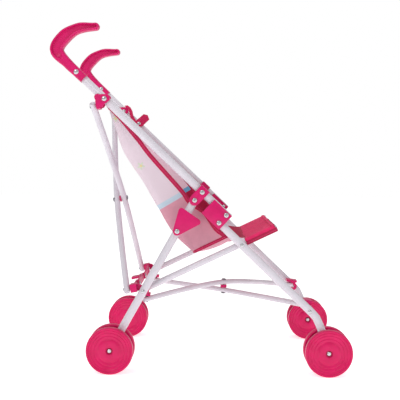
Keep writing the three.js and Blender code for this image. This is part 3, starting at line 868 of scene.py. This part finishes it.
def handles():
    path, half = handle_path()
    steps = len(path) - 1
    count = 54

    def at_share(share):
        place = share * steps
        i = min(int(place), steps - 1)
        w = place - i
        point = path[i].lerp(path[i + 1], w)
        ahead = (path[min(i + 2, steps)] - path[max(i - 1, 0)]).normalized()
        return point, ahead, half[i] * (1 - w) + half[i + 1] * w

    def outline(inset, drop, recess):
        """A ring of points of the grip's outline with each one's drop below the face."""
        left, right = [], []
        for k in range(count + 1):
            point, ahead, width = at_share(k / count)
            normal = quarter_turn(ahead)
            reach, sunk = width - inset, drop
            if recess:
                q = min(max((k / count - RECESS_FROM) / 0.12, 0), 1)
                reach *= 0.03 + 0.97 * math.sqrt(1 - (1 - q) ** 2)
                sunk *= min(q * 3, 1)
            left.append((point + normal * reach, sunk))
            right.append((point - normal * reach, sunk))
        tip, ahead, width = at_share(1)
        normal = quarter_turn(ahead)
        cap = [
            (tip + (normal * math.cos(a) + ahead * math.sin(a)) * (width - inset), drop)
            for a in (math.pi * k / 12 for k in range(1, 12))
        ]
        return left + cap + right[::-1]

    for tag, sign in SIDES:
        rings = []
        for face, shapes in ((-1, reversed(HANDLE_RINGS[1:])), (1, HANDLE_RINGS)):
            for inset, drop, recess in shapes:
                ring = outline(inset * MM, drop * MM, recess)
                rings.append([at_y(p, sign * LEG_Y + face * (HANDLE_HALF - sunk)) for p, sunk in ring])
        verts, faces = joined(rings, False)
        n = len(rings[0])
        for base, flip in ((0, True), (len(verts) - n, False)):
            for k in range(count):
                a, b, c, d = base + k, base + k + 1, base + n - 2 - k, base + n - 1 - k
                faces.append((a, b, c, d) if flip else (d, c, b, a))
            faces.append(tuple(base + count + i for i in range(n - 2 * count)))
        body = f"{tag}_push_frame"
        sharpen(outward(new_piece(f"{tag}-handle-grip", verts, faces, PINK, body, f"{tag}_handle")), 38)
        for way, side, node in ((sign, "out", f"{tag}_handle_screw"), (-sign, "in", None)):
            centre = at_y(KNEE + PUSH * 320 * MM, sign * LEG_Y + way * (HANDLE_HALF - 0.1 * MM))
            rivet(f"{tag}-handle-rivet-{side}", centre, Vector((0, way, 0)), 4.0 * MM, body, node=node)


# --- fold lock


def lock():
    for tag, sign, front, back in (("right", -1, 9.2, 12.2), ("left", 1, 7.0, 8.9)):
        body = tag + "_lock_body"
        softened(tag + "_lock_arm", PINK, body, 0.4 * MM)
        end, low, high = (
            rear_point(LOCK_RISE, depth * MM, sign * y * MM) for depth, y in ((front - 0.1, 74), (back, 16), (back, 62))
        )
        rivet(tag + "-lock-rivet", end, -REAR_DEPTH, 3.2 * MM, body)
        strip = [low.lerp(high, k / 8) for k in range(9)]
        tape_along(tag + "-lock-strip", strip, 3.2 * MM, 0.5 * MM, REAR_AXIS, CHROME, body)
    centre = rear_point(LOCK_RISE, 9.6 * MM, 0)
    for face, side, node in ((1, "back", "lock_pin"), (-1, "front", None)):
        rivet("lock-centre-rivet-" + side, centre + REAR_DEPTH * face * 2.6 * MM, REAR_DEPTH * face, 3.6 * MM,
              "right_lock_body", node=node)
    softened("lock_pedal", PINK, "right_lock_body", 0.6 * MM)


# --- seat

# The sling's side view, from the top hem: where the back meets the wings, and the wings' free edge
SLING_REAR = [(-150, 421), (-146, 400), (-141, 387), (-133, 362), (-124, 343), (-98, 304), (-71, 259), (-45, 217),
              (-13, 188)]
SLING_EDGE = [(-150, 422), (-130, 401), (-115, 385), (-99, 367), (-83, 346), (-27, 283), (-19, 271), (5, 254),
              (26, 226), (42, 215)]
SEAT_FRONT = [(42, 215), (52, 213.5), (62, 212.5), (70, 212.8)]


def flat_points(pairs):
    return [Vector((x * MM, 0, z * MM)) for x, z in pairs]


WING_COLUMNS = 14
BACK_COLUMNS = 36
SLING_ROWS = 64
CORNER = 13 * MM
SITTER = Vector((-20 * MM, 0, 300 * MM))  # a point inside the seat
WING_SHIFT = 8 * MM  # how far the left wing's free edge may lie nearer to its push tube
BASE_SAG = 17 * MM


def section(edge, rear):
    """The near half of a line across the sling: wing, rounded corner, and the start of the back."""
    wide = (edge - rear).length
    out = (rear - edge).normalized() if wide > 1e-6 else Vector((-1, 0, 0))
    radius = min(CORNER, wide * 0.45)
    centre = rear - out * radius
    corner = [at_y(centre + out * radius * s, radius * (1 - c) - SLING_HALF) for c, s in quarter_arc()]
    return [at_y(edge, -SLING_HALF), *corner]


def mirrored(path):
    return [Vector((p.x, -p.y, p.z)) for p in reversed(path)]


def sling_surface():
    """The grid of points of the sling's back and wings, with each one's place on the flat cloth."""
    rear = resample(catmull(flat_points(SLING_REAR), 200), SLING_ROWS)
    edge = resample(catmull(flat_points(SLING_EDGE), 200), SLING_ROWS)
    run = lengths_along(rear)
    grid, flat = [], []
    for i in range(SLING_ROWS + 1):
        ahead = heading(rear, i)
        off = (edge[i] - KNEE).dot(PUSH_BACK)
        shift = math.copysign(min(WING_SHIFT, abs(off)), -off) * math.sin(math.pi * i / SLING_ROWS) ** 0.6
        wing_near = resample(section(edge[i], rear[i]), WING_COLUMNS)
        wing_far = resample(mirrored(section(edge[i] + PUSH_BACK * shift, rear[i])), WING_COLUMNS)
        back = [wing_near[-1].lerp(wing_far[0], k / BACK_COLUMNS) for k in range(1, BACK_COLUMNS)]
        row = wing_near + back + wing_far
        across = lengths_along(row)
        middle = across[-1] / 2
        grid.append(row)
        flat.append([(across[j] - middle, run[i] + (side_view(p) - rear[i]).dot(ahead)) for j, p in enumerate(row)])
    return grid, flat


def base_surface(last_row, last_flat):
    """The seat's base, from the sling's lowest edge forward to the front panel."""
    grid, flat = [], []
    seam_near = last_row[: WING_COLUMNS + 1][::-1]
    front = resample(catmull(flat_points(SEAT_FRONT), 40), 8)
    edges = [side_view(p) for p in seam_near] + front[1:]
    halves = [abs(p.y) for p in seam_near] + [SLING_HALF] * (len(front) - 1)
    run = lengths_along(edges)
    first_v = last_flat[WING_COLUMNS][1]
    for i, (edge, half) in enumerate(zip(edges, halves)):
        share = i / (len(edges) - 1)
        sag = BASE_SAG * math.sin(math.pi * min(share * 1.05, 1)) ** 0.8 + 2 * MM * share
        row = []
        for j in range(BACK_COLUMNS + 1):
            across = 2 * j / BACK_COLUMNS - 1
            row.append(at_y(edge, across * half) - Vector((0, 0, sag * (1 - abs(across) ** 2.6))))
        grid.append(row if i else last_row[WING_COLUMNS : WING_COLUMNS + BACK_COLUMNS + 1])
        flat.append([(p.y, first_v + run[i]) for p in grid[-1]])
    return grid, flat


def ripple(point, scale, seed):
    return noise.noise(Vector((point.x, point.y, point.z)) * scale + Vector((seed, 0, 0)))


def grid_piece(name, grids, materials, body, node):
    """A cloth made of one or more grids that share edges, with an inside and an outside."""
    verts, uvs, faces = [], [], []
    for grid, flat in grids:
        base = len(verts)
        wide = len(grid[0])
        for row, marks in zip(grid, flat):
            verts += row
            uvs += marks
        for i in range(len(grid) - 1):
            for j in range(wide - 1):
                a = base + i * wide + j
                faces.append((a, a + wide, a + wide + 1, a + 1))

    def join(bm):
        bmesh.ops.remove_doubles(bm, verts=bm.verts, dist=0.05 * MM)
        bmesh.ops.recalc_face_normals(bm, faces=bm.faces)

    return edit(new_piece(name, verts, faces, materials, body, node, uvs=uvs), join)


def cut_size(patterns):
    """The width, length and area of a cut, from the grids of places on the flat cloth, in metres."""
    marks = [m for rows in patterns for row in rows for m in row]
    us, vs = [m[0] for m in marks], [m[1] for m in marks]
    area = 0.0
    for rows in patterns:
        for low, high in zip(rows, rows[1:]):
            for a, b, c, d in zip(low, low[1:], high[1:], high):
                area += abs((c[0] - a[0]) * (d[1] - b[1]) - (d[0] - b[0]) * (c[1] - a[1])) / 2
    return max(us) - min(us), max(vs) - min(vs), area


def thicken(piece, thickness, facing):
    """Gives a sheet its two faces, the outside's material first; facing is positive where a face looks outside."""
    if sum(1 if facing(p) > 0 else -1 for p in piece.data.polygons) < 0:
        piece.data.flip_normals()
    solid = piece.modifiers.new("cloth thickness", "SOLIDIFY")
    solid.thickness = thickness
    solid.offset = -1
    solid.material_offset = 1
    apply_modifiers(piece)


TAPE_SIDES = 10


def tape_along(name, points, width, thickness, way, material, body, taper=None):
    """A flat folded tape along a line of points; its width lies along way."""
    run = lengths_along(points)
    rings, uvs = [], []
    for i, p in enumerate(points):
        ahead = heading(points, i)
        across = way[i] if isinstance(way, list) else way
        across = (across - ahead * across.dot(ahead)).normalized()
        up = ahead.cross(across)
        wide = width * (taper[i] if taper else 1)
        ring = []
        for k in range(TAPE_SIDES):
            a = 2 * math.pi * k / TAPE_SIDES
            x = math.copysign(abs(math.cos(a)) ** 0.45, math.cos(a)) * wide / 2
            h = math.copysign(abs(math.sin(a)) ** 0.7, math.sin(a)) * thickness / 2
            ring.append(p + across * x + up * h)
            uvs.append((x, run[i]))
        rings.append(ring)
    return outward(new_piece(name, *joined(rings), material, body, uvs=uvs))


def seat():
    grid, flat = sling_surface()
    base_grid, base_flat = base_surface(grid[-1], flat[-1])
    for surface in (grid, base_grid):
        for i, row in enumerate(surface):
            wide = len(row) - 1
            for j, p in enumerate(row):
                hold = min(j, wide - j) / wide
                free = min(hold / 0.12, 1) * min((i + 1) / 6, 1)
                push = (ripple(p, 14, 3.1) * 2.2 + ripple(p, 38, 7.7) * 0.7) * MM * free
                direction = Vector((-0.8, 0, -0.45)) if surface is grid else Vector((0, 0, 1))
                row[j] = p + direction * push
    base_grid[0] = grid[-1][WING_COLUMNS : WING_COLUMNS + BACK_COLUMNS + 1]
    for i in range(1, WING_COLUMNS + 1):
        base_grid[i][0] = grid[-1][WING_COLUMNS - i]
        base_grid[i][-1] = grid[-1][WING_COLUMNS + BACK_COLUMNS + i]
    pieces = [(grid, flat), (base_grid, base_flat)]
    sling = grid_piece("seat-sling-cloth", pieces, [OUTER, INNER], "right_push_frame", "seat_sling")
    thicken(sling, 0.8 * MM, lambda face: (face.center - SITTER).dot(face.normal))
    return sling, grid, cut_size([flat, base_flat])


def bindings():
    """Dark tape round the sling's free edges and its top hem."""
    made = []

    def bind(name, line, width, thickness, way, taper=None):
        made.append(tape_along(name, line, width * MM, thickness * MM, way, BINDING, "right_push_frame", taper))

    for tag, sign in SIDES:
        rows = sling_grid if sign < 0 else [row[::-1] for row in sling_grid]
        edge = [row[0] for row in rows]
        ahead = [row[WING_COLUMNS] - row[0] for row in rows]
        way = [side_view(a).normalized() if a.length > 4 * MM else Vector((-0.6, 0, -0.8)) for a in ahead]
        taper = [0.5 + 0.6 * min(max((i - 7) / 8, 0), 1) for i in range(len(edge))]
        bind(f"{tag}-edge-binding", [p + w * 2.4 * MM for p, w in zip(edge, way)], 6.4, 2.0, way, taper)
        seam = [p + Vector((0, sign * 0.4 * MM, 1.0 * MM)) for p in rows[-1][WING_COLUMNS::-1]]
        bind(f"{tag}-seat-binding", seam, 5.2, 2.0, Vector((-0.4, 0, 1)))
    top = [p + Vector((0, 0, -3 * MM)) for p in sling_grid[0]]
    bind("top-hem", resample(top, 40), 8, 2.2, Vector((0.25, 0, -1)))
    return made


PANEL_START, PANEL_LENGTH = 8, 56  # along the struts past their front pivots, in millimetres
PANEL_ROWS = 26
PANEL_COLUMNS = 48
HEM_POINTS = 9  # points of a row round each strut


def front_panel():
    """Cloth stretched over the ends of both seat struts, with a hem sleeve round each."""
    reach = (STRUT_FRONT - REAR_PIN).length
    lift = quarter_turn(STRUT)
    outer = STRUT_R + 1.0 * MM
    # round the near strut, from below to above
    turns = [math.radians(-50 - 220 * k / (HEM_POINTS - 1)) for k in range(HEM_POINTS)]
    near = [Vector((0, -STRUT_Y + outer * math.cos(a), outer * math.sin(a))) for a in turns]
    far = mirrored(near)
    grid, flat = [], []
    for i in range(PANEL_ROWS + 1):
        share = i / PANEL_ROWS
        along = reach + (PANEL_START + PANEL_LENGTH * share) * MM
        corner = max(share - 0.86, 0) / 0.14
        tuck = (1 - math.sqrt(max(1 - corner * corner, 0))) * 7 * MM
        dip = 3.5 * MM * math.sin(math.pi * min(share + 0.15, 1)) + 1.0 * MM
        middle = []
        for k in range(1, PANEL_COLUMNS):
            w = k / PANEL_COLUMNS
            y = mix(near[-1].y, far[0].y, w)
            middle.append(Vector((0, y, near[-1].z - dip * math.sin(math.pi * w) ** 0.7)))
        line = near + middle + far
        run = lengths_along(line)
        row, marks = [], []
        for j, p in enumerate(line):
            inset = min(j, len(line) - 1 - j)
            spot = REAR_PIN + STRUT * along + lift * p.z
            wave = (ripple(Vector((spot.x, p.y, 0)), 30, 1.7) * 1.1) * MM if inset >= HEM_POINTS else 0
            row.append(at_y(spot + lift * wave - STRUT * tuck * (1 if inset >= 6 else 0.4), p.y))
            marks.append((run[j] - run[-1] / 2, along))
        grid.append(row)
        flat.append(marks)
    panel = grid_piece("front-panel-cloth", [(grid, flat)], [PANEL, DARK_CRIMSON], "right_strut_frame", "seat_panel")
    thicken(panel, 0.9 * MM, lambda face: face.normal.z)
    return panel, grid, cut_size([flat])


def panel_hems():
    """Hems along both struts and across the front edge."""
    body = "right_strut_frame"
    made = []
    for tag, sign in SIDES:
        column = 4 if sign < 0 else -5
        line = [row[column] + Vector((0, sign * 0.3 * MM, 0)) for row in panel_grid]
        made.append(tape_along(f"{tag}-panel-hem", line, 6.5 * MM, 1.2 * MM, Vector((0, 0.15 * sign, 1)), DARK_CRIMSON, body))
    line = [p + Vector((-0.8 * MM, 0, 0.1 * MM)) for p in panel_grid[-1][6:-6]]
    made.append(tape_along("panel-front-hem", line, 5 * MM, 1.6 * MM, STRUT, PANEL, body))
    return made


def closure_strap():
    """A strap riveted to the left push tube, looped up and back down to a tab with a press stud."""
    strap = softened("closure_strap", STRAP_CLOTH, "left_push_frame")
    layer = strap.data.uv_layers.new(name="UVMap")
    for loop in strap.data.loops:
        spot = strap.data.vertices[loop.vertex_index].co
        layer.data[loop.index].uv = (spot.x / MM, spot.z / MM)
    stud = box_centre("strap_stud")
    studs = [
        rivet("press-stud-" + side, at_y(stud, (109.5 + way * 0.9) * MM), Vector((0, way, 0)), 3.3 * MM,
              "left_push_frame", node=node, height=0.3)
        for way, side, node in ((1, "outer", None), (-1, "inner", "strap_stud"))
    ]
    return strap, studs


CLOTH_NAMES = (
    "seat-sling", "right-edge", "left-edge", "right-seat-b", "left-seat-b", "top-hem",
    "front-panel", "right-panel", "left-panel", "panel-front",
)


def squash_seat():
    """Gives each cloth piece a mesh of its own."""
    for piece in list(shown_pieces()):
        if piece.name.startswith(CLOTH_NAMES):
            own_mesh(piece)


# --- stage, light and camera


def stage():
    floor = bpy.data.meshes.new("floor")
    size = 6.0
    floor.from_pydata([(-size, -size, 0), (size, -size, 0), (size, size, 0), (-size, size, 0)], [], [(0, 1, 2, 3)])
    shader = Shader("pale floor", (0.93, 0.93, 0.94), 0.6, Specular_IOR_Level=0.0, Emission_Color=(1, 1, 1, 1),
                    Emission_Strength=0.62)
    floor.materials.append(shader.material)
    add_object("floor", floor)


def light(name, place, aim, size, energy):
    lamp = bpy.data.lights.new(name, "AREA")
    lamp.shape = "RECTANGLE"
    lamp.size, lamp.size_y = size
    lamp.energy = energy
    piece = add_object(name, lamp)
    piece.location = place
    piece.rotation_euler = (Vector(aim) - Vector(place)).to_track_quat("-Z", "Y").to_euler()


def studio():
    scene = bpy.context.scene
    world = bpy.data.worlds.new("studio")
    world.use_nodes = True
    tree = world.node_tree
    backdrop = tree.nodes["Background"]
    backdrop.inputs["Color"].default_value = (1, 1, 1, 1)
    seen = tree.nodes.new("ShaderNodeLightPath")
    level = tree.nodes.new("ShaderNodeMapRange")
    level.inputs["To Min"].default_value = 0.53
    level.inputs["To Max"].default_value = 1.0
    tree.links.new(seen.outputs["Is Camera Ray"], level.inputs["Value"])
    tree.links.new(level.outputs["Result"], backdrop.inputs["Strength"])
    scene.world = world
    scene.view_settings.view_transform = "Standard"
    target = (0, 0, 0.25)
    light("key", (-0.9, -1.3, 1.5), target, (1.0, 0.8), 8)
    light("fill", (1.4, -1.2, 0.8), target, (1.2, 1.0), 3)
    light("top", (0, 0.3, 1.8), target, (1.6, 1.6), 6.5)


def camera():
    data = bpy.data.cameras.new("camera")
    data.lens = 62.1
    data.sensor_width = 36
    piece = add_object("camera", data)
    yaw, pitch, roll = math.radians(-0.953), math.radians(2.852), math.radians(0.503)
    turn = Matrix.Rotation(-yaw, 4, "Z") @ Matrix.Rotation(math.pi / 2 - pitch, 4, "X") @ Matrix.Rotation(roll, 4, "Z")
    piece.matrix_world = Matrix.Translation((0.0149, -1.1951, 0.3271)) @ turn
    bpy.context.scene.camera = piece


# --- the model


sling, sling_grid, SLING_CUT = seat()
frame_tubes()
rear_brace()
lower_brace()
side_plates()
wheels()
handles()
lock()
bindings()
panel, panel_grid, PANEL_CUT = front_panel()
panel_hems()
strap, studs = closure_strap()
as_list(studs)
squash_seat()
stage()
studio()
camera()
